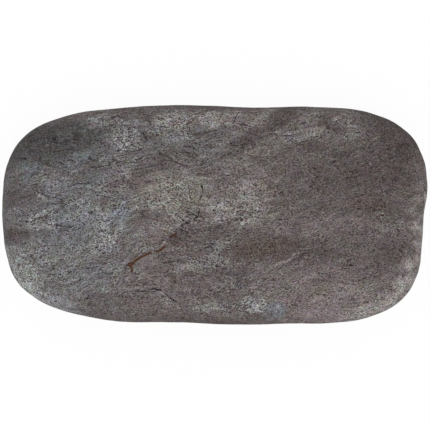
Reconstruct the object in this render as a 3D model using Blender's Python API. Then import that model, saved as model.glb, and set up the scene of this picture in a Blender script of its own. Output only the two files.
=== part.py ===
"""Basalt massage stone: one flat, water-worn slab of rock with a rounded edge all round.

The stone is a single piece. Its outline is a smooth closed curve through named landmarks, its edge
rolls over from the upper face to the underside, and the underside is worn flat where it rests.
The origin is the middle of the resting face. +X runs along the stone, +Z is up. Sizes are in metres.
"""

import math
from collections import namedtuple

import bmesh
import bpy
import numpy as np
from mathutils import Vector, noise

# Driving dimensions
LENGTH = 0.150
WIDTH = 0.0773
THICKNESS = 0.022

# Edge section: the level of the widest outline, and how far in from it the edge rolls over
RIM_HEIGHT = 0.0105
SIDE_ROLL = 0.0060
END_ROLL = 0.0085
CORNER_ROLL = 0.0140
EDGE_FULLNESS = 2.2

# Faces: the swell of each face between its edges, and what the underside has worn away
CROWN = 0.0011
BELLY = 0.0012
REST_CUT = 0.0006

# Upper face: fall from the thick west end to the thin east end, and slow hollows and rises
END_FALL = 0.0012
RISE_HEIGHT = 0.0005
RISE_SPACING = 0.042

# Cells of the modelling cage along the stone, across it and round its edge, and outline steps
CELLS = (44, 22, 16)
OUTLINE_STEPS = 24

# Stone seen in the photograph: a dark grey with a little purple-brown, matt and dry
STONE_COLOUR = (0.140, 0.123, 0.121, 1.0)
STONE_ROUGHNESS = 0.82

EAST, WEST, NORTH, SOUTH, MIDDLE = 1, -1, 1, -1, 0
Landmark = namedtuple("Landmark", "name end x side y")

# Where the outline passes, anticlockwise. x is measured from the named end, or from the middle of
# the stone, and y from the named side, or from the long axis.
LANDMARKS = (
    Landmark("east_tip", EAST, 0.0, MIDDLE, 0.0108),
    Landmark("north_east_flank", EAST, -0.0018, NORTH, -0.0178),
    Landmark("north_east_corner", EAST, -0.0079, NORTH, -0.0088),
    Landmark("north_east_shoulder", EAST, -0.0197, NORTH, -0.0028),
    Landmark("north_east_run", EAST, -0.0380, NORTH, -0.0006),
    Landmark("north_waist", MIDDLE, 0.0140, NORTH, -0.0007),
    Landmark("north_peak", MIDDLE, -0.0155, NORTH, 0.0),
    Landmark("north_west_run", WEST, 0.0400, NORTH, -0.0011),
    Landmark("north_west_shoulder", WEST, 0.0205, NORTH, -0.0042),
    Landmark("north_west_corner", WEST, 0.0073, NORTH, -0.0113),
    Landmark("north_west_flank", WEST, 0.0019, NORTH, -0.0202),
    Landmark("west_tip", WEST, 0.0001, MIDDLE, 0.0082),
    Landmark("west_face", WEST, 0.0004, MIDDLE, -0.0078),
    Landmark("south_west_heel", WEST, 0.0017, SOUTH, 0.0232),
    Landmark("south_west_flank", WEST, 0.0046, SOUTH, 0.0159),
    Landmark("south_west_corner", WEST, 0.0107, SOUTH, 0.0099),
    Landmark("south_west_shoulder", WEST, 0.0185, SOUTH, 0.0058),
    Landmark("south_west_run", WEST, 0.0290, SOUTH, 0.0029),
    Landmark("south_west_bend", WEST, 0.0420, SOUTH, 0.0010),
    Landmark("south_waist", MIDDLE, -0.0140, SOUTH, 0.0007),
    Landmark("south_peak", MIDDLE, 0.0090, SOUTH, 0.0),
    Landmark("south_flat", MIDDLE, 0.0260, SOUTH, 0.0003),
    Landmark("south_east_run", EAST, -0.0340, SOUTH, 0.0006),
    Landmark("south_east_shoulder", EAST, -0.0210, SOUTH, 0.0025),
    Landmark("south_east_corner", EAST, -0.0100, SOUTH, 0.0081),
    Landmark("south_east_flank", EAST, -0.0039, SOUTH, 0.0168),
    Landmark("east_heel", EAST, -0.0018, MIDDLE, -0.0092),
    Landmark("east_hollow", EAST, -0.0012, MIDDLE, 0.0004),
)


def clear_scene():
    """Removes every object, so that the script can be run again."""
    for obj in list(bpy.data.objects):
        bpy.data.objects.remove(obj)


def new_collection(name):
    """An empty collection in the scene."""
    collection = bpy.data.collections.new(name)
    bpy.context.scene.collection.children.link(collection)
    return collection


def outline_guide(guides):
    """The outline as a smooth closed curve through the landmarks."""
    curve = bpy.data.curves.new("outline_guide", "CURVE")
    curve.dimensions = "2D"
    curve.fill_mode = "NONE"
    curve.resolution_u = OUTLINE_STEPS
    spline = curve.splines.new("BEZIER")
    spline.use_cyclic_u = True
    spline.bezier_points.add(len(LANDMARKS) - 1)
    for point, mark in zip(spline.bezier_points, LANDMARKS):
        point.co = (mark.end * LENGTH / 2 + mark.x, mark.side * WIDTH / 2 + mark.y, 0)
        point.handle_left_type = "AUTO"
        point.handle_right_type = "AUTO"
    guide = bpy.data.objects.new("outline_guide", curve)
    guide.hide_render = True
    guide.display_type = "WIRE"
    guides.objects.link(guide)
    return guide


class Outline:
    """The stone's widest line seen from above, read by bearing from the middle."""

    def __init__(self, guide):
        bpy.context.view_layer.update()
        graph = bpy.context.evaluated_depsgraph_get()
        traced = bpy.data.meshes.new_from_object(guide.evaluated_get(graph))
        points = np.array([vertex.co[:2] for vertex in traced.vertices])
        bpy.data.meshes.remove(traced)
        low, high = points.min(axis=0), points.max(axis=0)
        points = (points - (low + high) / 2) * np.array((LENGTH, WIDTH)) / (high - low)
        along = np.roll(points, -1, axis=0) - np.roll(points, 1, axis=0)
        outward = np.column_stack((along[:, 1], -along[:, 0]))
        outward /= np.linalg.norm(outward, axis=1)[:, None]
        bearings = np.arctan2(points[:, 1], points[:, 0])
        order = np.argsort(bearings)
        self.bearings = bearings[order]
        self.table = np.column_stack((points, outward))[order]

    def at(self, bearing):
        """The outline's point and its outward direction at a bearing in radians."""
        turn = 2 * math.pi
        row = [np.interp(bearing, self.bearings, column, period=turn) for column in self.table.T]
        return Vector(row[:2]), Vector(row[2:]).normalized()


def roll_width(u, v):
    """How far in from the outline the edge rolls over, at a place on the cage's rim.

    u and v run from -1 to 1 across the cage, so a corner is where they are alike in size.
    """
    corner = math.sin(2 * math.atan2(v, u)) ** 2
    straight = END_ROLL if abs(u) > abs(v) else SIDE_ROLL
    return straight + (CORNER_ROLL - straight) * corner


def edge_section(w):
    """The roll's share inwards and its share of the rise or drop, at a level w from -1 to 1."""
    angle = abs(w) * math.pi / 2
    inwards = 1 - max(math.cos(angle), 0) ** (2 / EDGE_FULLNESS)
    return inwards, math.sin(angle) ** (2 / EDGE_FULLNESS)


def upper_level(place, rise, swell):
    """Height of the upper half at a place, from its share of the rise and of the crown."""
    shape = (THICKNESS - RIM_HEIGHT - CROWN) * rise + CROWN * swell
    fall = END_FALL * place.x / LENGTH
    unevenness = RISE_HEIGHT * noise.noise(Vector((place.x, place.y, 0)) / RISE_SPACING)
    return RIM_HEIGHT + shape + (unevenness - fall) * rise


def under_level(drop, swell):
    """Height of the underside before it is worn flat, from its share of the drop and the belly."""
    return RIM_HEIGHT - (RIM_HEIGHT + REST_CUT - BELLY) * drop - BELLY * swell


def stone_point(outline, cage_point):
    """The place on the stone that a point of the cage moves to."""
    u, v, w = cage_point
    ring = max(abs(u), abs(v))
    if ring == 0:
        place = Vector((0, 0))
        swell = 1
        rise = 1
    else:
        bearing = math.atan2(v * WIDTH, u * LENGTH)
        edge, outward = outline.at(bearing)
        inwards, rise = edge_section(w)
        place = (edge - outward * roll_width(u, v) * inwards) * ring
        swell = 1 - min(place.length / edge.length, 1) ** 2
    if w >= 0:
        level = upper_level(place, rise, swell)
    else:
        level = under_level(rise, swell)
    return Vector((place.x, place.y, level))


def cage():
    """A box of cells from -1 to 1 along each axis."""
    mesh = bmesh.new()
    bmesh.ops.create_cube(mesh, size=2)
    for axis, cells in enumerate(CELLS):
        along = [e for e in mesh.edges if abs(e.verts[0].co[axis] - e.verts[1].co[axis]) > 1]
        bmesh.ops.subdivide_edges(mesh, edges=along, cuts=cells - 1, use_grid_fill=True)
    return mesh


def wear_flat(mesh):
    """Cuts the underside at the resting level and closes it with one flat face."""
    geometry = list(mesh.verts) + list(mesh.edges) + list(mesh.faces)
    bmesh.ops.bisect_plane(
        mesh, geom=geometry, plane_co=(0, 0, 0), plane_no=(0, 0, -1), clear_outer=True
    )
    rim = [edge for edge in mesh.edges if edge.is_boundary]
    bmesh.ops.edgeloop_fill(mesh, edges=rim)
    bmesh.ops.recalc_face_normals(mesh, faces=mesh.faces)


def stone_material():
    """Dry, matt basalt."""
    material = bpy.data.materials.new("basalt")
    material.use_nodes = True
    shader = material.node_tree.nodes["Principled BSDF"]
    shader.inputs["Base Color"].default_value = STONE_COLOUR
    shader.inputs["Roughness"].default_value = STONE_ROUGHNESS
    shader.inputs["Metallic"].default_value = 0
    return material


def make_stone(parts, guides):
    """The stone, as one closed body standing on its worn flat."""
    outline = Outline(outline_guide(guides))
    shape = cage()
    for vertex in shape.verts:
        vertex.co = stone_point(outline, vertex.co)
    wear_flat(shape)
    mesh = bpy.data.meshes.new("stone")
    shape.to_mesh(mesh)
    shape.free()
    mesh.shade_smooth()
    mesh.materials.append(stone_material())
    stone = bpy.data.objects.new("stone", mesh)
    parts.objects.link(stone)
    return stone


def main():
    clear_scene()
    parts = new_collection("basalt_massage_stone")
    guides = new_collection("guides")
    guides.hide_render = True
    make_stone(parts, guides)


main()
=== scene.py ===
"""Basalt massage stone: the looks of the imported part.

One flat, water-worn slab of basalt lies on a pale studio floor and is seen from straight above.
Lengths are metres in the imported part's own frame. A name that ends in mm or px says otherwise.
East is +X, the right of the picture, and north is +Y, its top.
"""

import logging
import math
from collections.abc import Callable, Iterable, Mapping, Sequence
from dataclasses import dataclass
from enum import Enum
from functools import partial
from typing import Any, ClassVar

import bpy
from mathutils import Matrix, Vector

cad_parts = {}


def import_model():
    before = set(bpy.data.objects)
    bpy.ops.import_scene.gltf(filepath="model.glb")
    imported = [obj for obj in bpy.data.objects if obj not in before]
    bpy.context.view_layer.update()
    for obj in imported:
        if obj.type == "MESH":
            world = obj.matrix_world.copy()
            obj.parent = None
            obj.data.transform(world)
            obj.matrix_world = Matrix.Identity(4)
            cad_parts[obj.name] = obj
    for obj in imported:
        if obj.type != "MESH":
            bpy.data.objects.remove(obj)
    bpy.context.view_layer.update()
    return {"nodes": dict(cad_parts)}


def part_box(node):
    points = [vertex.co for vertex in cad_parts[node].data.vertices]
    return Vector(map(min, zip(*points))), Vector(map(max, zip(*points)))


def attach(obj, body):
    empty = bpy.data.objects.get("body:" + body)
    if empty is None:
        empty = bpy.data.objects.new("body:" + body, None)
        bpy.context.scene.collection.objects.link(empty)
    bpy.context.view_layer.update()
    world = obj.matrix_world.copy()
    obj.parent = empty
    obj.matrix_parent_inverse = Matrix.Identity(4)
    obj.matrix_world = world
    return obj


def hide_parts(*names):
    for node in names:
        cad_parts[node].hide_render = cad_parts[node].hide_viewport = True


LOG = logging.getLogger("massage_stone")
MM = 0.001
FRAME_PX = 430
SPOT_MM = 0.6

# Blender's names for the kinds of node that are used most
MATH = "ShaderNodeMath"
VECTOR = "ShaderNodeVectorMath"
RANGE = "ShaderNodeMapRange"
MIX = "ShaderNodeMix"
NOISE = "ShaderNodeTexNoise"
POSITION = "GeometryNodeInputPosition"
SET_POSITION = "GeometryNodeSetPosition"

FLAT = (1, 1, 0)
UP = (0, 0, 1)

Colour = tuple[float, float, float, float]
Triple = tuple[float, float, float]
Pair = tuple[float, float]
Line = tuple[Pair, ...]
Node = bpy.types.Node
AddNode = Callable[..., Node]

# What goes into a node's input: a constant, an output socket, or a node with the output
Feed = Any


def linear(hex_colour: str) -> Colour:
    """Turns an sRGB hex colour into the linear colour that shaders work in.

    Args:
        hex_colour: The colour as "#rrggbb".

    Returns:
        Linear red, green and blue, and an alpha of 1.
    """
    channels = [int(hex_colour[i : i + 2], 16) / 255 for i in (1, 3, 5)]
    red, green, blue = (c / 12.92 if c <= 0.04045 else ((c + 0.055) / 1.055) ** 2.4 for c in channels)
    return red, green, blue, 1.0


def per_metre(size_mm: float) -> float:
    """Gives a pattern's scale, the number of its spots in a metre."""
    return 1 / (size_mm * MM)


def add_node(
    tree: bpy.types.NodeTree, kind: str, feeds: Mapping[str, Feed] | Sequence[Feed] = (), **settings: Any
) -> Node:
    """Adds a node, sets its properties and feeds its inputs.

    Args:
        tree: The node tree that gets the node.
        kind: Blender's name for the kind of node.
        feeds: Values by input name, or in the order of the shown inputs. A value is a constant, an
            output socket, or a node whose first shown output is taken.
        settings: The node's own properties.

    Returns:
        The new node.
    """
    node = tree.nodes.new(kind)
    for name, value in settings.items():
        setattr(node, name, value)
    shown = [socket for socket in node.inputs if socket.enabled]
    if isinstance(feeds, Mapping):
        named = {socket.name: socket for socket in reversed(shown)}
        pairs = [(named[name], feed) for name, feed in feeds.items()]
    else:
        pairs = list(zip(shown, feeds))
    for socket, feed in pairs:
        if isinstance(feed, bpy.types.Node):
            feed = next(output for output in feed.outputs if output.enabled)
        if isinstance(feed, bpy.types.NodeSocket):
            tree.links.new(feed, socket)
        else:
            socket.default_value = feed
    return node


def empty_tree(owner: bpy.types.Material | bpy.types.World) -> AddNode:
    """Empties the node tree of a material or a world.

    Args:
        owner: The material or the world.

    Returns:
        What adds a node to its tree.
    """
    owner.use_nodes = True
    owner.node_tree.nodes.clear()
    return partial(add_node, owner.node_tree)


def swing(add: AddNode, pattern: Feed, reach: Feed, middle: Feed, kind: str = MATH) -> Node:
    """Lets a pattern move a value to both sides.

    Args:
        add: Adds a node to the tree.
        pattern: The pattern, about 0 to 1.
        reach: How far apart the value's ends are.
        middle: The value where the pattern is a half.
        kind: The kind of node that counts, for numbers or for vectors.

    Returns:
        The node with the moved value.
    """
    half = 0.5 if kind == MATH else (0.5, 0.5, 0.5)
    centred = add(kind, (pattern, half), operation="SUBTRACT")
    return add(kind, (centred, reach, middle), operation="MULTIPLY_ADD")


def seen_directly(add: AddNode) -> Node:
    """Tells the rays that look at a surface from those that only carry its light.

    Args:
        add: Adds a node to the tree.

    Returns:
        The node with 1 for camera, glossy and transmission rays, and 0 for the rest.
    """
    path = add("ShaderNodeLightPath").outputs
    seen = path["Is Camera Ray"]
    for ray in ("Is Glossy Ray", "Is Transmission Ray"):
        seen = add(MATH, (seen, path[ray]), operation="MAXIMUM")
    return seen


def add_object(name: str, data: bpy.types.ID) -> bpy.types.Object:
    """Adds an object to the scene.

    Args:
        name: The object's name.
        data: Its mesh, curve, lamp or camera.

    Returns:
        The object.
    """
    added = bpy.data.objects.new(name, data)
    bpy.context.scene.collection.objects.link(added)
    return added


def draw_guide(name: str, lines: Iterable[Line], closed: bool, steps: int) -> bpy.types.Object:
    """Draws smooth curves through points.

    Args:
        name: The curve object's name.
        lines: The points of each curve.
        closed: Whether the curves close.
        steps: How many steps a curve takes from one point to the next.

    Returns:
        The curve object.
    """
    curve = bpy.data.curves.new(name, "CURVE")
    curve.dimensions = "3D"
    curve.resolution_u = steps
    for line in lines:
        spline = curve.splines.new("BEZIER")
        spline.use_cyclic_u = closed
        spline.bezier_points.add(len(line) - 1)
        for point, (x, y) in zip(spline.bezier_points, line):
            point.co = (x, y, 0)
            point.handle_left_type = "AUTO"
            point.handle_right_type = "AUTO"
    return add_object(name, curve)


class Mineral(Enum):
    """What shows on the stone's surface, as the sRGB colour it has when dry."""

    DARK_BASALT = "#5a5353"
    COAL = "#525050"
    UMBER = "#554c4b"
    BROWN = "#574c47"
    MAUVE = "#625a59"
    LILAC = "#7b7071"
    SLATE = "#6f7275"
    SAGE = "#7c7671"
    ROSE = "#817876"
    ASH = "#807d7d"
    SKY = "#72797f"
    FROST = "#8f8e90"
    CHALK = "#99918e"
    FELDSPAR = "#969796"
    ZEOLITE = "#a9a9a9"
    PIT = "#241e1b"
    IRON = "#4a2a13"

    @property
    def colour(self) -> Colour:
        """Gives its linear colour."""
        return linear(self.value)


@dataclass(frozen=True)
class MineralPatch:
    """An area of the stone where one mineral shows more than elsewhere.

    Attributes:
        name: What the patch is and where it lies.
        mineral: What shows there; at the rolled edges and the diagonal ledge, the colour of painted light
            or painted shade.
        middle_mm: Its middle, from the stone's middle.
        reach_mm: How far it reaches from its middle, along its lean and across it.
        lean: The angle of its long axis from +X, in degrees.
        cover: The share of the ground that it hides at its middle.
        crust: How much more thickly pale grains lie on it, or how much less if below zero.
        edge: How soft its edge is, as a share of its reach.
    """

    name: str
    mineral: Mineral
    middle_mm: Pair
    reach_mm: Pair
    lean: float
    cover: float
    crust: float = 0.0
    edge: float = 0.6


# In painting order, so that a patch lies over those before it
PATCHES = (
    # Broad tones of the ground
    MineralPatch("east_ground", Mineral.MAUVE, (48, 4), (54, 46), 0, 0.75, -0.3),
    MineralPatch("west_ground", Mineral.SLATE, (-54, -8), (38, 42), 0, 0.6, 0.09),
    MineralPatch("south_ground", Mineral.LILAC, (-16, -24), (24, 12), 10, 0.35, -0.07),
    MineralPatch("south_middle_ground", Mineral.DARK_BASALT, (2, -18), (30, 24), 0, 0.25),
    MineralPatch("north_ground", Mineral.SLATE, (-22, 25), (40, 16), 0, 0.45, 0.16),
    MineralPatch("north_east_ground", Mineral.SAGE, (14, 22), (16, 12), 20, 0.2, 0.05),
    # Dark north corners: painted shade where the rolled edge turns away from the light
    MineralPatch("north_west_painted_shade", Mineral.COAL, (-56, 24.5), (32, 13), 10, 1.0, -0.5),
    MineralPatch("north_west_core_painted_shade", Mineral.COAL, (-48, 27), (13, 6), 5, 0.6),
    MineralPatch("north_west_shade", Mineral.COAL, (-41, 18), (9, 7), 10, 0.45, -0.1),
    MineralPatch("north_west_rim_painted_shade", Mineral.COAL, (-69, 24), (18, 11), 42, 0.45),
    MineralPatch("north_east_painted_shade", Mineral.UMBER, (67, 25), (26, 20), -50, 0.95, -0.19),
    MineralPatch("north_east_rim_painted_shade", Mineral.UMBER, (63, 32), (17, 8), -35, 0.65),
    # Pale south corners and east end: painted light where the rolled edge faces the light, with a real pale
    # chip at the south-west
    MineralPatch("south_west_painted_light", Mineral.FELDSPAR, (-69, -22), (22, 10), -60, 1.0, 0.45),
    MineralPatch("south_west_edge_painted_light", Mineral.FROST, (-59, -32), (24, 8), -28, 0.75, 0.09),
    MineralPatch("south_west_chip", Mineral.ZEOLITE, (-66, -24.5), (10, 5), -52, 0.75, 0.5),
    MineralPatch("south_east_painted_light", Mineral.CHALK, (72, -26), (30, 16), 52, 1.0, 0.25, 0.8),
    MineralPatch("south_east_edge_painted_light", Mineral.CHALK, (55, -35), (22, 8), 15, 1.0, 0.25),
    MineralPatch("east_end_painted_light", Mineral.CHALK, (77, -6), (12, 28), 0, 0.85, 0.1, 0.65),
    MineralPatch("east_end_upper_painted_light", Mineral.CHALK, (76, 14), (12, 14), 0, 0.3, 0.1),
    # West
    MineralPatch("west_bloom", Mineral.SLATE, (-44, -1), (24, 12), 15, 0.8, 0.2),
    MineralPatch("west_bloom_core", Mineral.ASH, (-43, 2), (13, 7), 10, 0.45, 0.2),
    MineralPatch("west_bloom_spot", Mineral.SKY, (-32, 1), (6, 4), 20, 0.7, 0.05),
    MineralPatch("west_rust_shade", Mineral.BROWN, (-37.5, 4), (5.5, 4), 20, 0.55, -0.3),
    MineralPatch("west_bloom_south", Mineral.ASH, (-40, -9), (12, 7), 30, 0.8, 0.38),
    MineralPatch("west_spot", Mineral.UMBER, (-69, -7), (10, 6), 0, 0.75, -0.22),
    MineralPatch("west_spot_pale", Mineral.ASH, (-61, -3), (8, 4), 10, 0.6, 0.2),
    MineralPatch("west_streak_pale", Mineral.ASH, (-60, -16), (12, 13), 20, 0.4, 0.15),
    MineralPatch("west_streak_dark", Mineral.DARK_BASALT, (-51, -5), (9, 4), 10, 0.2, -0.05),
    MineralPatch("west_upper_streak", Mineral.SLATE, (-48, 20), (13, 4), 15, 0.6, 0.2),
    MineralPatch("west_upper_end", Mineral.SLATE, (-67, 14), (10, 6), 15, 0.8, 0.1),
    MineralPatch("west_end_shade", Mineral.DARK_BASALT, (-67, 5.5), (12, 8), 0, 0.75, -0.05),
    MineralPatch("west_upper_shade", Mineral.SLATE, (-43, 12), (9, 5), 20, 0.6, -0.18),
    MineralPatch("south_west_bloom", Mineral.FROST, (-50, -25), (15, 6), 15, 0.15, -0.06),
    MineralPatch("south_west_streak", Mineral.ASH, (-46, -16), (8, 4), 10, 0.8, 0.25),
    # North
    MineralPatch("north_west_crust", Mineral.ASH, (-32, 28), (17, 8), -35, 0.4, 0.45),
    MineralPatch("north_west_smooth", Mineral.MAUVE, (-26, 34), (9, 4.5), -10, 0.4, -0.4),
    MineralPatch("north_notch", Mineral.PIT, (-24.4, 27.6), (4, 2.8), -50, 0.4, -0.1, 0.5),
    MineralPatch("north_crust", Mineral.ROSE, (-13, 33), (12, 6), 8, 0.9, 0.55),
    MineralPatch("north_arcs", Mineral.BROWN, (-14, 21), (13, 6), 5, 0.45, -0.03),
    MineralPatch("north_shade", Mineral.UMBER, (-23, 15), (11, 8), 50, 0.75, -0.2),
    MineralPatch("north_step_shade", Mineral.DARK_BASALT, (-2, 29), (9, 4), 10, 0.35, -0.1),
    MineralPatch("north_ash", Mineral.CHALK, (0, 34.3), (13, 4.5), 3, 0.7, 0.2),
    # Painted shade along the north edge, where it rolls over
    MineralPatch("north_rim_painted_shade", Mineral.UMBER, (4, 39.4), (50, 4.5), 0, 0.6, -0.3),
    MineralPatch("north_west_edge", Mineral.ASH, (-40, 33), (10, 4), 12, 0.75, 0.4),
    # The next three patches are painted shade along the diagonal ledge, a low step in the surface
    MineralPatch("diagonal_ledge_painted_shade", Mineral.DARK_BASALT, (12, 26.3), (21, 3.6), 31, 0.62, -0.4, 0.3),
    MineralPatch("diagonal_ledge_core_painted_shade", Mineral.UMBER, (11, 26), (9, 3.2), 31, 0.5, -0.12, 0.3),
    MineralPatch("diagonal_ledge_top", Mineral.UMBER, (24.5, 34), (7, 3.4), 45, 0.6, -0.3, 0.3),
    MineralPatch("diagonal_ledge_pale", Mineral.ROSE, (16.5, 33.7), (9, 4), 30, 0.9, 0.27),
    MineralPatch("north_east_edge", Mineral.ROSE, (36, 34), (13, 4), 0, 0.25, 0.25),
    MineralPatch("north_east_streak", Mineral.ASH, (31, 28), (13, 4), 15, 0.4, 0.28),
    MineralPatch("north_east_shade", Mineral.UMBER, (35, 24), (9, 3), 8, 0.8, -0.32),
    MineralPatch("north_east_crust", Mineral.ASH, (46, 29), (14, 6), -5, 0.1, 0.28),
    MineralPatch("north_east_ash", Mineral.ASH, (48, 34), (12, 4), -8, 0.1, 0.3),
    MineralPatch("north_east_spot", Mineral.UMBER, (41, 31), (5.5, 3.4), -20, 0.85, -0.5),
    # Middle
    MineralPatch("middle_bloom", Mineral.SAGE, (-15, 6), (20, 13), 15, 1.0, 0.15),
    MineralPatch("middle_bloom_core", Mineral.SAGE, (-12, 9), (11, 7), 20, 0.7, 0.21),
    MineralPatch("middle_bloom_west", Mineral.SAGE, (-25, 3.5), (8, 6), 20, 0.7, 0.3),
    MineralPatch("rose_bloom", Mineral.ROSE, (10, 5), (16, 10), 15, 1.0, 0.4),
    MineralPatch("rose_upper", Mineral.ROSE, (20, 15), (9, 7), 15, 0.15, -0.05),
    MineralPatch("rose_ground", Mineral.ROSE, (0, 1), (12, 6), 20, 0.5, 0.15),
    MineralPatch("crack_crust", Mineral.UMBER, (-9, -1), (8, 5), 35, 0.5, 0.3),
    MineralPatch("rose_bloom_south", Mineral.SAGE, (13, -1), (10, 6), 15, 0.7, 0.42),
    MineralPatch("mauve_hollow", Mineral.UMBER, (0, -7), (9, 5), 15, 0.65, -0.2),
    MineralPatch("vein_shade", Mineral.UMBER, (-13, -8), (10, 5), 25, 0.8, -0.25),
    MineralPatch("vein_smooth", Mineral.MAUVE, (-19, -17), (12, 5), 20, 0.5, -0.15),
    MineralPatch("olive_shade", Mineral.BROWN, (-6, -14), (9, 3), 20, 0.5),
    MineralPatch("olive_streak", Mineral.SAGE, (3, -9), (8, 4), 45, 0.1, 0.33),
    MineralPatch("olive_crust", Mineral.SAGE, (-3, -17), (14, 4), 10, 0.25, 0.55, 0.4),
    MineralPatch("olive_foot", Mineral.UMBER, (-5, -20.5), (8, 3), 10, 0.5, -0.3),
    MineralPatch("brown_band", Mineral.BROWN, (18, -12), (23, 6.5), 5, 0.9, -0.1),
    MineralPatch("brown_band_east", Mineral.UMBER, (34, -13), (14, 5), 0, 0.6, 0.18),
    MineralPatch("east_rose", Mineral.LILAC, (40, -4), (26, 7), 0, 0.35, -0.1),
    # East
    MineralPatch("east_band", Mineral.UMBER, (52, 14), (32, 10), 0, 0.6, -0.18),
    MineralPatch("east_olive", Mineral.BROWN, (56, 3), (15, 5), 0, 0.8),
    MineralPatch("east_crust", Mineral.MAUVE, (62, -3), (9, 6), -20, 0.1, 0.48),
    MineralPatch("east_spots", Mineral.UMBER, (61, -13), (10, 7), 20, 0.7),
    MineralPatch("east_lower_shade", Mineral.UMBER, (57, -19), (15, 6), 15, 0.3),
    MineralPatch("east_lilac", Mineral.LILAC, (38, -21), (18, 7), 0, 0.45, -0.21),
    # South
    MineralPatch("south_rose", Mineral.LILAC, (35, -33), (19, 8), 0, 1.0, -0.35),
    MineralPatch("south_east_bloom", Mineral.ROSE, (44, -28), (18, 7), 0, 0.4, 0.05),
    MineralPatch("south_shade", Mineral.DARK_BASALT, (-32, -32), (24, 8), 8, 0.4, -0.06),
    MineralPatch("south_middle_shade", Mineral.UMBER, (-12, -34), (20, 5), 0, 0.15, -0.1),
    MineralPatch("lower_crack_pale", Mineral.MAUVE, (-22, -27), (10, 4), -20, 0.4, 0.2),
    MineralPatch("short_shade", Mineral.BROWN, (-14.9, -22.4), (5, 2.2), 80, 0.85),
    MineralPatch("south_olive", Mineral.SAGE, (3, -24.8), (8, 3), 5, 0.05, 0.3),
    MineralPatch("south_crust", Mineral.ASH, (12, -32), (7, 5), -20, 0.15, 0.2),
    MineralPatch("south_chip", Mineral.ZEOLITE, (13.5, -31), (5.4, 2.8), -12, 0.38, 0.5, 0.15),
    MineralPatch("south_chip_foot", Mineral.UMBER, (13.5, -35.3), (7, 2.5), 0, 0.6, -0.4),
    MineralPatch("south_chip_west", Mineral.ZEOLITE, (-2.3, -32.4), (6.4, 2), 2, 0.26, 0.15, 0.15),
    MineralPatch("south_slate", Mineral.SLATE, (20, -34), (7, 5), 20, 0.75, -0.1),
    # The rim patches are painted shade along the south edge, where it rolls over
    MineralPatch("south_rim_painted_shade", Mineral.UMBER, (-6, -39.5), (42, 5.5), 0, 1.0, -0.5),
    MineralPatch("south_west_rim_painted_shade", Mineral.UMBER, (-38, -37.9), (26, 4.5), -8, 0.15, -0.3),
    MineralPatch("south_east_rim_painted_shade", Mineral.UMBER, (34, -39.3), (20, 4), 0, 0.2, -0.04),
)


@dataclass(frozen=True)
class FissureForm:
    """How a kind of line in the rock is cut and what shows in it.

    Attributes:
        attribute: The name that the mesh's marks for it start with.
        reach: How far its colour reaches on each side.
        depth: How deep it is cut, or how proud it stands if below zero.
        mineral: What shows in it.
        cover: How much of the rock it hides.
        wear: How broken up it is, from 0 to about 4.
    """

    attribute: str
    reach: float
    depth: float
    mineral: Mineral
    cover: float
    wear: float

    @property
    def way(self) -> str:
        """Gives the name of the mark that holds the way to the nearest line."""
        return f"{self.attribute}_way"


class FissureKind(Enum):
    """The kinds of line that cross the upper face."""

    PARTING = FissureForm("parting", 0.3 * MM, 0.1 * MM, Mineral.PIT, 0.7, 2.4)
    CRACK = FissureForm("crack", 0.26 * MM, 0.2 * MM, Mineral.PIT, 0.9, 3.0)
    POCK = FissureForm("pock", 0.6 * MM, 0.25 * MM, Mineral.PIT, 0.85, 0.8)
    IRON_VEIN = FissureForm("iron_vein", 0.75 * MM, 0.1 * MM, Mineral.IRON, 0.9, 1.9)
    PALE_VEIN = FissureForm("pale_vein", 0.4 * MM, -0.05 * MM, Mineral.CHALK, 0.6, 2.6)


def spot(x_mm: float, y_mm: float) -> Line:
    """Gives a line so short that it is a spot."""
    return (x_mm - SPOT_MM / 2, y_mm), (x_mm + SPOT_MM / 2, y_mm)


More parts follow.
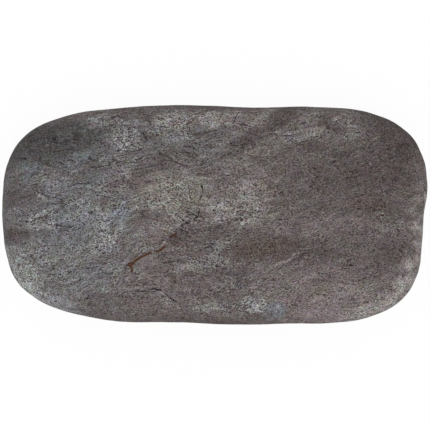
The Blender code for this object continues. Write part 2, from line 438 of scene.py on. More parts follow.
# The points that each line runs through, in millimetres from the stone's middle
FISSURES: dict[FissureKind, dict[str, Line]] = {
    FissureKind.PARTING: {
        "north_notch": ((-26.9, 29.5), (-25.5, 28.8), (-24.5, 27.4), (-23.8, 26.0)),
        "north_nick": ((-24.1, 33.7), (-23.0, 32.7), (-22.0, 31.6)),
        "north_bed_top": ((-30.5, 24.2), (-28.3, 24.5), (-26.2, 24.9)),
        "north_bed_upper": ((-34.0, 22.1), (-31.9, 22.4), (-29.4, 22.1), (-26.9, 22.4), (-25.2, 23.1)),
        "north_bed_lower": ((-34.7, 17.8), (-32.6, 18.5), (-30.5, 18.2), (-28.3, 18.9), (-24.1, 20.7)),
        "north_step": ((-20.9, 22.8), (-19.5, 21.7), (-18.1, 20.7), (-16.3, 20.3), (-14.9, 19.3)),
        "arc_upper": ((-11.0, 23.8), (-8.9, 23.8), (-6.8, 23.1), (-5.4, 22.1)),
        "arc_lower": ((-12.1, 21.7), (-10.0, 21.7), (-7.9, 21.4), (-6.1, 20.7)),
        "arc_end": ((-14.9, 24.2), (-13.9, 22.8), (-13.2, 21.4)),
        "north_long_step": ((-10.7, 27.0), (-8.6, 27.4), (-6.1, 28.1), (-1.9, 29.1), (0.6, 29.5)),
        "north_rim_nick": ((8.4, 36.2), (7.3, 34.1), (6.2, 31.6)),
        "diagonal_ledge_top": ((26.7, 35.8), (25.7, 33.7), (23.5, 32.3), (21.4, 31.2), (19.3, 29.8)),
        "diagonal_foot": ((6.2, 22.1), (4.1, 21.0), (2.0, 20.0)),
        "diagonal_toe": ((9.4, 20.0), (8.4, 18.9), (7.0, 17.5)),
        "north_east_step": ((25.3, 23.5), (27.1, 23.1), (28.8, 24.2), (30.2, 25.2), (32.4, 26.0)),
        "north_east_bed": ((30.2, 32.0), (32.7, 32.3), (34.8, 32.3)),
        "north_east_nick": ((39.4, 30.9), (41.2, 29.8), (42.9, 29.1)),
        "middle_nick": ((13.3, 10.4), (15.1, 10.4), (16.8, 11.1)),
        "west_bed": ((-62.2, 8.3), (-60.5, 7.6), (-58.7, 6.5), (-56.6, 6.2), (-54.5, 5.8), (-52.7, 4.8)),
        "west_step": ((-51.6, 9.7), (-49.5, 10.1), (-48.1, 11.1), (-46.3, 10.8), (-43.2, 11.1)),
        "west_rise": ((-43.2, 16.8), (-41.0, 16.4), (-38.9, 17.1), (-36.8, 17.5), (-35.4, 18.9)),
        "west_end_nick": ((-67.9, 5.5), (-66.8, 3.7), (-66.1, 2.3)),
        "west_nick": ((-47.4, 4.1), (-46.0, 3.7), (-44.6, 4.4)),
        "west_lower_bed": ((-55.2, -3.3), (-53.0, -4.0), (-50.9, -4.0), (-49.2, -4.7), (-46.7, -4.7)),
        "south_west_bed": ((-46.3, -18.9), (-44.2, -18.5), (-42.1, -18.2), (-40.3, -17.8)),
        "south_west_step": ((-39.3, -19.9), (-37.2, -20.6), (-35.4, -19.9)),
        "south_west_end": ((-55.2, -20.6), (-52.7, -20.6), (-50.2, -19.9)),
        "middle_bed_lower": ((-17.8, -16.7), (-15.2, -16.4), (-12.6, -15.8)),
        "middle_bed_foot": ((-18.1, -19.8), (-16.4, -19.6), (-14.6, -19.1)),
        "middle_bed": ((-20.9, -15.0), (-19.2, -14.3), (-17.0, -13.9)),
        "vein_nick": ((-15.3, -9.0), (-14.6, -10.0), (-13.9, -11.1)),
        "south_crust_edge": ((8.4, -31.2), (9.4, -32.3), (10.1, -33.3), (11.5, -34.0)),
        "east_nick": ((62.4, -2.3), (63.4, -3.7), (63.8, -4.7)),
    },
    FissureKind.CRACK: {
        "middle_crack": ((-5.9, 11.7), (-4.7, 10.0), (-4.2, 7.8), (-4.9, 6.3), (-5.5, 4.3), (-5.5, 2.2)),
        "middle_crack_end": (
            (-5.5, 2.2), (-6.1, -0.7), (-7.2, -1.2), (-8.6, -2.1), (-10.3, -3.0), (-11.8, -4.0),
        ),
        "vein_crack": ((-22.2, -13.0), (-20.2, -12.7), (-18.5, -12.0)),
        "lower_crack": ((-28.0, -26.3), (-26.6, -26.6), (-24.8, -26.3), (-22.7, -25.9), (-20.6, -25.9)),
        "lower_crack_end": ((-20.6, -25.9), (-18.8, -26.3), (-17.4, -27.3), (-15.6, -28.9), (-13.5, -30.2)),
    },
    FissureKind.POCK: {
        "west_pock": spot(-43.0, 0.9),
        "west_end_pock": spot(-65.5, -2.3),
        "south_west_pock": spot(-68.5, -17.5),
        "north_west_pock": spot(-43.9, 29.5),
        "north_west_end_pock": spot(-66.5, 19.6),
        "west_rise_pock": spot(-43.5, 19.6),
        "east_end_pock": spot(69.8, -7.9),
        "east_pock": spot(64.8, -12.2),
        "south_east_pock": spot(47.5, -17.5),
        "south_east_end_pock": spot(57.1, -19.9),
        "south_edge_pock": spot(45.4, -32.6),
        "south_rim_pock": spot(41.5, -31.2),
        "north_east_end_pock": spot(70.8, 18.5),
    },
    FissureKind.IRON_VEIN: {
        "iron_vein": ((-29.9, -17.5), (-28.3, -16.4), (-26.2, -15.0), (-24.1, -13.9), (-22.2, -13.0)),
        "iron_vein_foot": ((-29.9, -16.9), (-28.4, -17.1)),
        "iron_vein_east": ((-20.2, -12.7), (-18.5, -12.0), (-17.8, -10.9)),
        "iron_hook": ((-29.4, -17.8), (-28.9, -18.9), (-28.7, -19.6)),
        "iron_end": ((-15.6, -7.7), (-14.6, -7.3), (-13.6, -6.7)),
        "west_rust": spot(-38.2, 3.7),
        "east_rust": spot(58.5, -0.2),
    },
    FissureKind.PALE_VEIN: {
        "pale_vein": ((17.2, -19.9), (18.9, -19.2), (20.4, -18.2), (21.8, -17.1), (23.2, -16.4)),
        "pale_vein_east": ((23.2, -16.4), (25.3, -16.0), (26.7, -15.0), (27.4, -13.9), (29.5, -13.0)),
        "lower_crack_lip": ((-27.6, -25.2), (-25.8, -25.4), (-23.8, -25.0)),
        "lower_crack_end_lip": ((-17.4, -28.6), (-15.8, -29.8)),
        "middle_crack_lip": ((-5.4, 8.0), (-6.1, 6.2), (-6.7, 4.0)),
        "vein_lip": ((-18.4, -10.6), (-17.6, -9.6), (-16.6, -9.4)),
        "ledge_ridge": ((21.4, 29.1), (19.7, 28.8), (18.2, 28.1)),
        "west_ridge": ((-62.2, 7.6), (-60.1, 6.2), (-58.3, 5.1)),
    },
}


class End(Enum):
    """What a landmark's place along the stone is measured from."""

    EAST = 1
    MIDDLE = 0
    WEST = -1


class Side(Enum):
    """What a landmark's place across the stone is measured from."""

    NORTH = 1
    MIDDLE = 0
    SOUTH = -1


@dataclass(frozen=True)
class Landmark:
    """A point that the stone's outline passes through.

    Attributes:
        name: Where on the outline it is.
        end: What x is measured from.
        x_mm: Its place along the stone.
        side: What y is measured from.
        y_mm: Its place across the stone.
    """

    name: str
    end: End
    x_mm: float
    side: Side
    y_mm: float


LANDMARKS = (
    Landmark("east_tip", End.EAST, 0.0, Side.MIDDLE, 10.8),
    Landmark("north_east_flank", End.EAST, -1.8, Side.NORTH, -17.8),
    Landmark("north_east_corner", End.EAST, -7.9, Side.NORTH, -8.8),
    Landmark("north_east_shoulder", End.EAST, -19.7, Side.NORTH, -2.8),
    Landmark("north_east_run", End.EAST, -38.0, Side.NORTH, -0.6),
    Landmark("north_waist", End.MIDDLE, 14.0, Side.NORTH, -0.7),
    Landmark("north_peak", End.MIDDLE, -15.5, Side.NORTH, 0.0),
    Landmark("north_west_run", End.WEST, 40.0, Side.NORTH, -1.1),
    Landmark("north_west_shoulder", End.WEST, 20.5, Side.NORTH, -4.2),
    Landmark("north_west_corner", End.WEST, 7.3, Side.NORTH, -11.3),
    Landmark("north_west_flank", End.WEST, 1.9, Side.NORTH, -20.2),
    Landmark("west_tip", End.WEST, 0.1, Side.MIDDLE, 8.2),
    Landmark("west_face", End.WEST, 0.4, Side.MIDDLE, -7.8),
    Landmark("south_west_heel", End.WEST, 1.7, Side.SOUTH, 23.2),
    Landmark("south_west_flank", End.WEST, 4.6, Side.SOUTH, 15.9),
    Landmark("south_west_corner", End.WEST, 10.7, Side.SOUTH, 9.9),
    Landmark("south_west_shoulder", End.WEST, 18.5, Side.SOUTH, 5.8),
    Landmark("south_west_run", End.WEST, 29.0, Side.SOUTH, 2.9),
    Landmark("south_west_bend", End.WEST, 42.0, Side.SOUTH, 1.0),
    Landmark("south_waist", End.MIDDLE, -14.0, Side.SOUTH, 0.7),
    Landmark("south_peak", End.MIDDLE, 9.0, Side.SOUTH, 0.0),
    Landmark("south_flat", End.MIDDLE, 26.0, Side.SOUTH, 0.3),
    Landmark("south_east_run", End.EAST, -34.0, Side.SOUTH, 0.6),
    Landmark("south_east_shoulder", End.EAST, -21.0, Side.SOUTH, 2.5),
    Landmark("south_east_corner", End.EAST, -10.0, Side.SOUTH, 8.1),
    Landmark("south_east_flank", End.EAST, -3.9, Side.SOUTH, 16.8),
    Landmark("east_heel", End.EAST, -1.8, Side.MIDDLE, -9.2),
    Landmark("east_hollow", End.EAST, -1.2, Side.MIDDLE, 0.4),
)


@dataclass(frozen=True)
class Specks:
    """Small spots of one mineral, strewn over the rock.

    Attributes:
        mineral: What shows in them.
        spacing_mm: How far apart the places for them are.
        empty: The share of those places that stay empty.
        reach: The size of the largest, against their spacing.
        cover: How much of the rock they hide.
        edge: How wide their soft edge is, against their spacing.
    """

    mineral: Mineral
    spacing_mm: float
    empty: float
    reach: float
    cover: float
    edge: float = 0.12


class Pattern(Enum):
    """The patterns in the rock, each as its seed and the number of its finer layers."""

    DRIFT = (1.0, 4.0)
    THICKNESS = (11.0, 4.0)
    STREAK = (3.0, 6.0)
    STEPS = (5.0, 3.0)
    BARE = (13.0, 1.0)
    HAIR = (5.0, 2.0)
    FLAKE = (7.0, 1.0)
    GRIT = (8.0, 0.0)
    BAYS = (12.0, 6.0)
    TINT = (9.0, 4.0)
    BREAKS = (10.0, 3.0)
    BENDS = (6.5, 1.0)
    RAGGED = (4.0, 4.0)
    BROKEN_UP = (6.0, 4.0)


Patterns = dict[Pattern, Node]


@dataclass(frozen=True)
class BasaltFinish:
    """Dry basalt, worn by water and left unpolished.

    It gives the eye a dull dark grey that breaks up, close to, into pale and dark grains, open pits
    and slow drifts of brown, blue and chalky grey.

    Attributes:
        roughness: How matt the worn surface is.
        ior: The rock's refractive index.
        gloss: The share of a smooth surface's gloss that the open grain leaves.
        bump: How deep the grain and the pits are.
        falloff: How strong each finer layer of a pattern is, against the one before.
        drift_mm: The size of the slow drifts of tone.
        bend_mm: How far the rock's layers wander.
        fabric_lean: The angle from +X that the layers run at, in degrees.
        fabric_stretch: How much longer than wide the streaks are.
        streak_mm: The length of the streaks.
        streak_contrast: How much lighter and darker the streaks are.
        terrace_mm: The size of the areas where thin layers crop out in steps.
        terrace_falloff: The falloff of the steps' own patterns.
        terrace_steps: How many steps lie between the lowest and the highest of them.
        terrace_width: The share of a step that its shade takes.
        terrace_shade: How much darker the foot of a step is.
        bare_edge: Where the steps start to show and where they show fully, on their pattern's scale.
        hair_mm: The length of the hairlines in the smooth ground.
        hair_stretch: How much longer than wide they are, over and above the streaks.
        hair_contrast: How much lighter and darker they are.
        grain_shape: How long, wide and deep a grain is, as shares of its size.
        flake_mm: The size of the crust's flakes.
        flake_edge: Where a flake starts and where it is whole, on its pattern's scale.
        flake_contrast: How much lighter than the gaps the flakes are.
        grit_mm: The spacing of the finest grains that show.
        grit_contrast: How much lighter and darker they are, on the smooth ground.
        crust_contrast: The same, on the crust.
        crust_cover: How much of the ground the crust's pale grains hide.
        thickness_mm: The size of the areas where the crust is thick or thin.
        crust_mm: The size of the bays and islands of the crust.
        crust_bays: How much those count, against its thickness.
        crust_edge: Where the crust starts and where it is whole, on the scale of its thickness.
        tone_floor: The darkest that a grain gets.
        tone_share: How much of a change of tone goes to red, green and blue: dark grains are redder.
        tint_mm: The size of the areas where the grains' colours are alike.
        tint: How much those colours differ, in red, green and blue.
        pits: The open pits.
        laths: The pale crystals that lie along the layers.
        break_mm: The size of the breaks and jags in the lines.
        mark_edge: Where a line's colour may start and where it may be whole, on the scale of its mark.
        fray: How far the streaks draw out the edges of the patches.
        ragged_mm: How far the edges of the patches wander.
        depth_mm: How far the patches of mineral reach down into the stone.
        patch_level: The level of the patches' middles.
        patch_start: How far in from its reach a patch starts, as a share of it.
    """

    roughness: float = 0.82
    ior: float = 1.6
    gloss: float = 0.1
    bump: float = 0.12 * MM
    falloff: float = 0.65
    drift_mm: float = 34.0
    bend_mm: float = 26.0
    fabric_lean: float = 7.0
    fabric_stretch: float = 3.0
    streak_mm: float = 10.0
    streak_contrast: float = 1.9
    terrace_mm: float = 24.0
    terrace_falloff: float = 0.5
    terrace_steps: float = 10.0
    terrace_width: float = 0.35
    terrace_shade: float = 0.35
    bare_edge: Pair = (0.42, 0.58)
    hair_mm: float = 3.6
    hair_stretch: float = 2.0
    hair_contrast: float = 1.8
    grain_shape: Triple = (1.35, 0.75, 0.75)
    flake_mm: float = 1.1
    flake_edge: Pair = (0.42, 0.6)
    flake_contrast: float = 0.45
    grit_mm: float = 0.4
    grit_contrast: float = 2.8
    crust_contrast: float = 4.2
    crust_cover: float = 0.28
    thickness_mm: float = 8.5
    crust_mm: float = 5.6
    crust_bays: float = 3.0
    crust_edge: Pair = (2.0, 2.5)
    tone_floor: float = 0.08
    tone_share: Triple = (0.94, 1.03, 1.03)
    tint_mm: float = 2.4
    tint: Triple = (0.46, 0.5, 0.64)
    pits: Specks = Specks(Mineral.PIT, 2.6, 0.5, 0.25, 0.55)
    laths: Specks = Specks(Mineral.FELDSPAR, 2.6, 0.4, 0.3, 0.45)
    break_mm: float = 1.6
    mark_edge: Pair = (0.3, 0.6)
    fray: float = 4.0
    ragged_mm: float = 6.0
    depth_mm: float = 34.0
    patch_level: float = 20.0 * MM
    patch_start: float = 0.1

    @property
    def lie(self) -> Triple:
        """Gives the turn of the rock's layers from +X."""
        return 0.0, 0.0, math.radians(self.fabric_lean)

    def material(self, patches: Iterable[MineralPatch]) -> bpy.types.Material:
        """Makes the stone's material.

        Args:
            patches: The areas where a mineral shows more than elsewhere, and areas of painted light and
                painted shade, painted in order.

        Returns:
            The material.
        """
        material = bpy.data.materials.new("basalt_water_worn")
        add = empty_tree(material)
        place = add("ShaderNodeTexCoord").outputs["Object"]
        bent = self._wandered(add, place, Pattern.BENDS, self.drift_mm, self.bend_mm)
        layer_shape = (1, 1 / self.fabric_stretch, 1 / self.fabric_stretch)
        layers, lying = (
            add(
                "ShaderNodeMapping",
                {"Vector": at, "Rotation": self.lie, "Scale": shape},
                vector_type="TEXTURE",
            )
            for at, shape in ((bent, layer_shape), (place, self.grain_shape))
        )
        patterns = self._patterns(add, place, layers, lying)
        ground, crust = self._patched_ground(add, place, patterns, patches)
        streaked = self._streaked(add, patterns, ground)
        grained, grain = self._grained(add, patterns, streaked, crust)
        tinted = self._tinted(add, patterns, grained)
        flecked, _ = self._speckled(add, layers, tinted, self.laths)
        pitted, pit = self._speckled(add, place, flecked, self.pits)
        lined = self._lined(add, patterns, grain, pitted)
        relief = add(MATH, (grain, pit), operation="SUBTRACT")
        bump = add("ShaderNodeBump", {"Distance": self.bump, "Height": relief})
        shader = add(
            "ShaderNodeBsdfPrincipled",
            {
                "Base Color": lined,
                "Roughness": self.roughness,
                "IOR": self.ior,
                "Specular IOR Level": self.gloss,
                "Normal": bump,
            },
        )
        add("ShaderNodeOutputMaterial", {"Surface": shader})
        return material

    def _wandered(
        self, add: AddNode, place: Feed, pattern: Pattern, size_mm: float, reach_mm: float
    ) -> Node:
        """Makes places wander, so that what is painted at them bends or gets ragged edges.

        Args:
            add: Adds a node to the material's tree.
            place: The places.
            pattern: The bends.
            size_mm: The size of the bends.
            reach_mm: How far the places wander.

        Returns:
            The node with the moved places.
        """
        seed, detail = pattern.value
        wander = add(
            NOISE,
            {
                "Vector": place,
                "W": seed,
                "Scale": per_metre(size_mm),
                "Detail": detail,
                "Roughness": self.falloff,
            },
            noise_dimensions="4D",
        )
        reach = (reach_mm * MM,) * 3
        return swing(add, wander.outputs["Color"], reach, place, VECTOR)

    def _patterns(self, add: AddNode, place: Feed, layers: Feed, lying: Feed) -> Patterns:
        """Makes the patterns that the rock's colours are mixed by.

        Args:
            add: Adds a node to the material's tree.
            place: Object coordinates.
            layers: Places along and across the bent layers.
            lying: Places along and across a grain.

        Returns:
            The nodes with the patterns, each about 0 to 1.
        """
        hair_shape = (1, self.hair_stretch, self.hair_stretch)
        drawn = add(VECTOR, (layers, hair_shape), operation="MULTIPLY")
        broken_up = self._wandered(add, lying, Pattern.BROKEN_UP, 2 * self.flake_mm, self.flake_mm)
        patterns = {}
        for pattern, at, size_mm, falloff in (
            (Pattern.DRIFT, place, self.drift_mm, self.falloff),
            (Pattern.THICKNESS, place, self.thickness_mm, self.falloff),
            (Pattern.STREAK, layers, self.streak_mm, self.falloff),
            (Pattern.STEPS, layers, self.terrace_mm, self.terrace_falloff),
            (Pattern.BARE, layers, self.terrace_mm, self.terrace_falloff),
            (Pattern.HAIR, drawn, self.hair_mm, self.falloff),
            (Pattern.FLAKE, broken_up, self.flake_mm, self.falloff),
            (Pattern.GRIT, lying, self.grit_mm, self.falloff),
            (Pattern.BAYS, layers, self.crust_mm, self.falloff),
            (Pattern.TINT, place, self.tint_mm, self.falloff),
            (Pattern.BREAKS, place, self.break_mm, self.falloff),
        ):
            seed, detail = pattern.value
            patterns[pattern] = add(
                NOISE,
                {
                    "Vector": at,
                    "W": seed,
                    "Scale": per_metre(size_mm),
                    "Detail": detail,
                    "Roughness": falloff,
                },
                noise_dimensions="4D",
            )
        return patterns

    def _patched_ground(
        self, add: AddNode, place: Feed, patterns: Patterns, patches: Iterable[MineralPatch]
    ) -> tuple[Node, Node]:
        """Paints the ground: slow drifts, and then the patches with edges frayed along the layers.

        Args:
            add: Adds a node to the material's tree.
            place: Object coordinates.
            patterns: The rock's patterns.
            patches: The patches, in painting order.

        Returns:
            The node with the ground colour, and the node with how thickly pale grains lie on it.
        """
        crust = patterns[Pattern.THICKNESS]
        ground = add(
            MIX,
            {"Factor": patterns[Pattern.DRIFT], "A": Mineral.DARK_BASALT.colour, "B": Mineral.ROSE.colour},
            data_type="RGBA",
        )
        fray = add(MATH, (patterns[Pattern.STREAK], self.fray, 1 - self.fray / 2), operation="MULTIPLY_ADD")
        ragged = self._wandered(add, place, Pattern.RAGGED, self.ragged_mm, self.ragged_mm)
        for patch in patches:
            local = add(
                "ShaderNodeMapping",
                {
                    "Vector": ragged,
                    "Location": (patch.middle_mm[0] * MM, patch.middle_mm[1] * MM, self.patch_level),
                    "Rotation": (0, 0, math.radians(patch.lean)),
                    "Scale": (patch.reach_mm[0] * MM, patch.reach_mm[1] * MM, self.depth_mm * MM),
                },
                vector_type="TEXTURE",
                label=patch.name,
            )
            nearness = add("ShaderNodeTexGradient", {"Vector": local}, gradient_type="SPHERICAL")
            frayed = add(MATH, (nearness.outputs["Fac"], fray), operation="MULTIPLY")
            cover = add(
                RANGE,
                {
                    "Value": frayed,
                    "From Min": self.patch_start,
                    "From Max": self.patch_start + patch.edge,
                    "To Max": patch.cover,
                },
                interpolation_type="SMOOTHSTEP",
            )
            ground = add(MIX, {"Factor": cover, "A": ground, "B": patch.mineral.colour}, data_type="RGBA")
            if patch.crust:
                gain = patch.crust / patch.cover
                crust = add(MATH, (cover, gain, crust), operation="MULTIPLY_ADD")
        return ground, crust

    def _streaked(self, add: AddNode, patterns: Patterns, colour: Feed) -> Node:
        """Darkens and lightens the ground in streaks, and in steps where thin layers crop out.

        Args:
            add: Adds a node to the material's tree.
            patterns: The rock's patterns.
            colour: The colour so far.

        Returns:
            The node with the streaked colour.
        """
        height = add(MATH, (patterns[Pattern.STEPS], self.terrace_steps), operation="MULTIPLY")
        past_step = add(MATH, (height,), operation="FRACT")
        start, whole = self.bare_edge
        foot = add(
            RANGE,
            {
                "Value": patterns[Pattern.BARE],
                "From Min": start,
                "From Max": whole,
                "To Min": 1.0,
                "To Max": 1 - self.terrace_shade,
            },
        )
        shade = add(
            RANGE,
            {"Value": past_step, "From Max": self.terrace_width, "To Min": foot, "To Max": 1.0},
            interpolation_type="SMOOTHSTEP",
        )
        tone = swing(add, patterns[Pattern.STREAK], self.streak_contrast, shade)
        return self._toned(add, colour, tone)

    def _toned(self, add: AddNode, colour: Feed, tone: Feed) -> Node:
        """Lightens or darkens a colour, the dark side redder and the pale side greyer.

        Args:
            add: Adds a node to the material's tree.
            colour: The colour so far.
            tone: How light it becomes, about 1.

        Returns:
            The node with the toned colour.
        """
        plain = tuple(1 - share for share in self.tone_share)
        gain = add(VECTOR, (tone, self.tone_share, plain), operation="MULTIPLY_ADD")
        return add(VECTOR, (colour, gain), operation="MULTIPLY")

    def _grained(self, add: AddNode, patterns: Patterns, colour: Feed, crust: Feed) -> tuple[Node, Node]:
        """Gives the ground hairlines and grit, and lays a crust of pale broken grains on part of it.

        Args:
            add: Adds a node to the material's tree.
            patterns: The rock's patterns.
            colour: The colour so far.
            crust: How thickly the pale grains lie, about 0 to 1.

        Returns:
            The node with the grained colour, and the node with the grains' height.
        """
        thickness = add(MATH, (patterns[Pattern.BAYS], self.crust_bays, crust), operation="MULTIPLY_ADD")
        flake, crusted = (
            add(
                RANGE,
                {"Value": value, "From Min": start, "From Max": whole},
                interpolation_type="SMOOTHSTEP",
            )
            for value, (start, whole) in (
                (patterns[Pattern.FLAKE], self.flake_edge),
                (thickness, self.crust_edge),
            )
        )
        paled = add(
            MIX,
            {"Factor": self.crust_cover, "A": colour, "B": Mineral.FELDSPAR.colour},
            data_type="RGBA",
        )
        hairs = (patterns[Pattern.HAIR], self.hair_contrast)
        flakes = (flake, self.flake_contrast)
        grit = patterns[Pattern.GRIT]
        tones = []
        grounds = []
        for ground, spots in (
            (colour, (hairs, (grit, self.grit_contrast))),
            (paled, (hairs, flakes, (grit, self.crust_contrast))),
        ):
            tone: Feed = 1.0
            for pattern, contrast in spots:
                tone = swing(add, pattern, contrast, tone)
            tone = add(MATH, (tone, self.tone_floor), operation="MAXIMUM")
            tones.append(tone)
            grounds.append(self._toned(add, ground, tone))
        grained = add(MIX, {"Factor": crusted, "A": grounds[0], "B": grounds[1]}, data_type="RGBA")
        height = add(MIX, {"Factor": crusted, "A": tones[0], "B": tones[1]})
        return grained, height

    def _tinted(self, add: AddNode, patterns: Patterns, colour: Feed) -> Node:
        """Turns the grains a little towards green, blue or red.

        Args:
            add: Adds a node to the material's tree.
            patterns: The rock's patterns.
            colour: The colour so far.

        Returns:
            The node with the tinted colour.
        """
        tint = patterns[Pattern.TINT].outputs["Color"]
        plain = tuple(1 - share / 2 for share in self.tint)
        gain = add(VECTOR, (tint, self.tint, plain), operation="MULTIPLY_ADD")
        return add(VECTOR, (colour, gain), operation="MULTIPLY")

    def _speckled(self, add: AddNode, place: Feed, colour: Feed, specks: Specks) -> tuple[Node, Node]:
        """Strews small spots over the rock, in some of the cells of a loose packing.

        Args:
            add: Adds a node to the material's tree.
            place: Places on the stone.
            colour: The colour so far.
            specks: What the spots are.

        Returns:
            The node with the speckled colour, and the spots' own shape from 0 to 1.
        """
        scale = per_metre(specks.spacing_mm)
        cells = add("ShaderNodeTexVoronoi", {"Vector": place, "Scale": scale}).outputs
        chance = add("ShaderNodeSeparateColor", {"Color": cells["Color"]}).outputs["Red"]
        reach = add(RANGE, {"Value": chance, "From Min": specks.empty, "To Max": specks.reach})
        near = add(MATH, (reach, cells["Distance"]), operation="SUBTRACT")
        shape = add(RANGE, {"Value": near, "From Max": specks.edge}, interpolation_type="SMOOTHSTEP")
        cover = add(MATH, (shape, specks.cover), operation="MULTIPLY")
        speckled = add(MIX, {"Factor": cover, "A": colour, "B": specks.mineral.colour}, data_type="RGBA")
        return speckled, shape

    def _lined(self, add: AddNode, patterns: Patterns, grain: Feed, colour: Feed) -> Node:
        """Colours the lines that the mesh marks.

        Args:
            add: Adds a node to the material's tree.
            patterns: The rock's patterns.
            grain: The grains' tone, about 1.
            colour: The colour so far.

        Returns:
            The node with the lined colour.
        """
        breaks = patterns[Pattern.BREAKS]
        stray = (self.break_mm * MM, self.break_mm * MM, 0)
        start, whole = self.mark_edge
        for kind in FissureKind:
            form = kind.value
            way = add("ShaderNodeAttribute", attribute_name=form.way).outputs["Vector"]
            strayed = swing(add, breaks.outputs["Color"], stray, way, VECTOR)
            off = add(VECTOR, (strayed,), operation="LENGTH")
            reach = swing(add, breaks, 2 * form.wear * form.reach, form.reach)
            inside = add(MATH, (reach, off), operation="SUBTRACT")
            shown = add(
                RANGE,
                {"Value": inside, "From Max": form.reach / 2, "To Max": form.cover},
                interpolation_type="SMOOTHSTEP",
            )
            mark = add("ShaderNodeAttribute", attribute_name=form.attribute).outputs["Fac"]
            near = add(RANGE, {"Value": mark, "From Min": start, "From Max": whole})
            cover = add(MATH, (shown, near), operation="MULTIPLY")
            grained = add(VECTOR, (form.mineral.colour[:3], grain), operation="SCALE")
            colour = add(MIX, {"Factor": cover, "A": colour, "B": grained}, data_type="RGBA")
        return colour


@dataclass(frozen=True)
class ReliefLayer:
    """Unevenness of one size on the worn surface.

    Attributes:
        name: What the unevenness is.
        spacing_mm: From one rise to the next, along the rock's layers.
        stretch: How much closer the rises lie across the layers.
        detail: How many finer layers it has.
        height: From its hollows to its rises.
    """

    name: str
    spacing_mm: float
    stretch: float
    detail: float
    height: float


RELIEF = (
    ReliefLayer("rises", 24.0, 1.0, 2.0, 0.7 * MM),
    ReliefLayer("ledges", 14.0, 3.0, 4.0, 0.35 * MM),
    ReliefLayer("tooth", 2.4, 1.0, 1.0, 0.12 * MM),
)


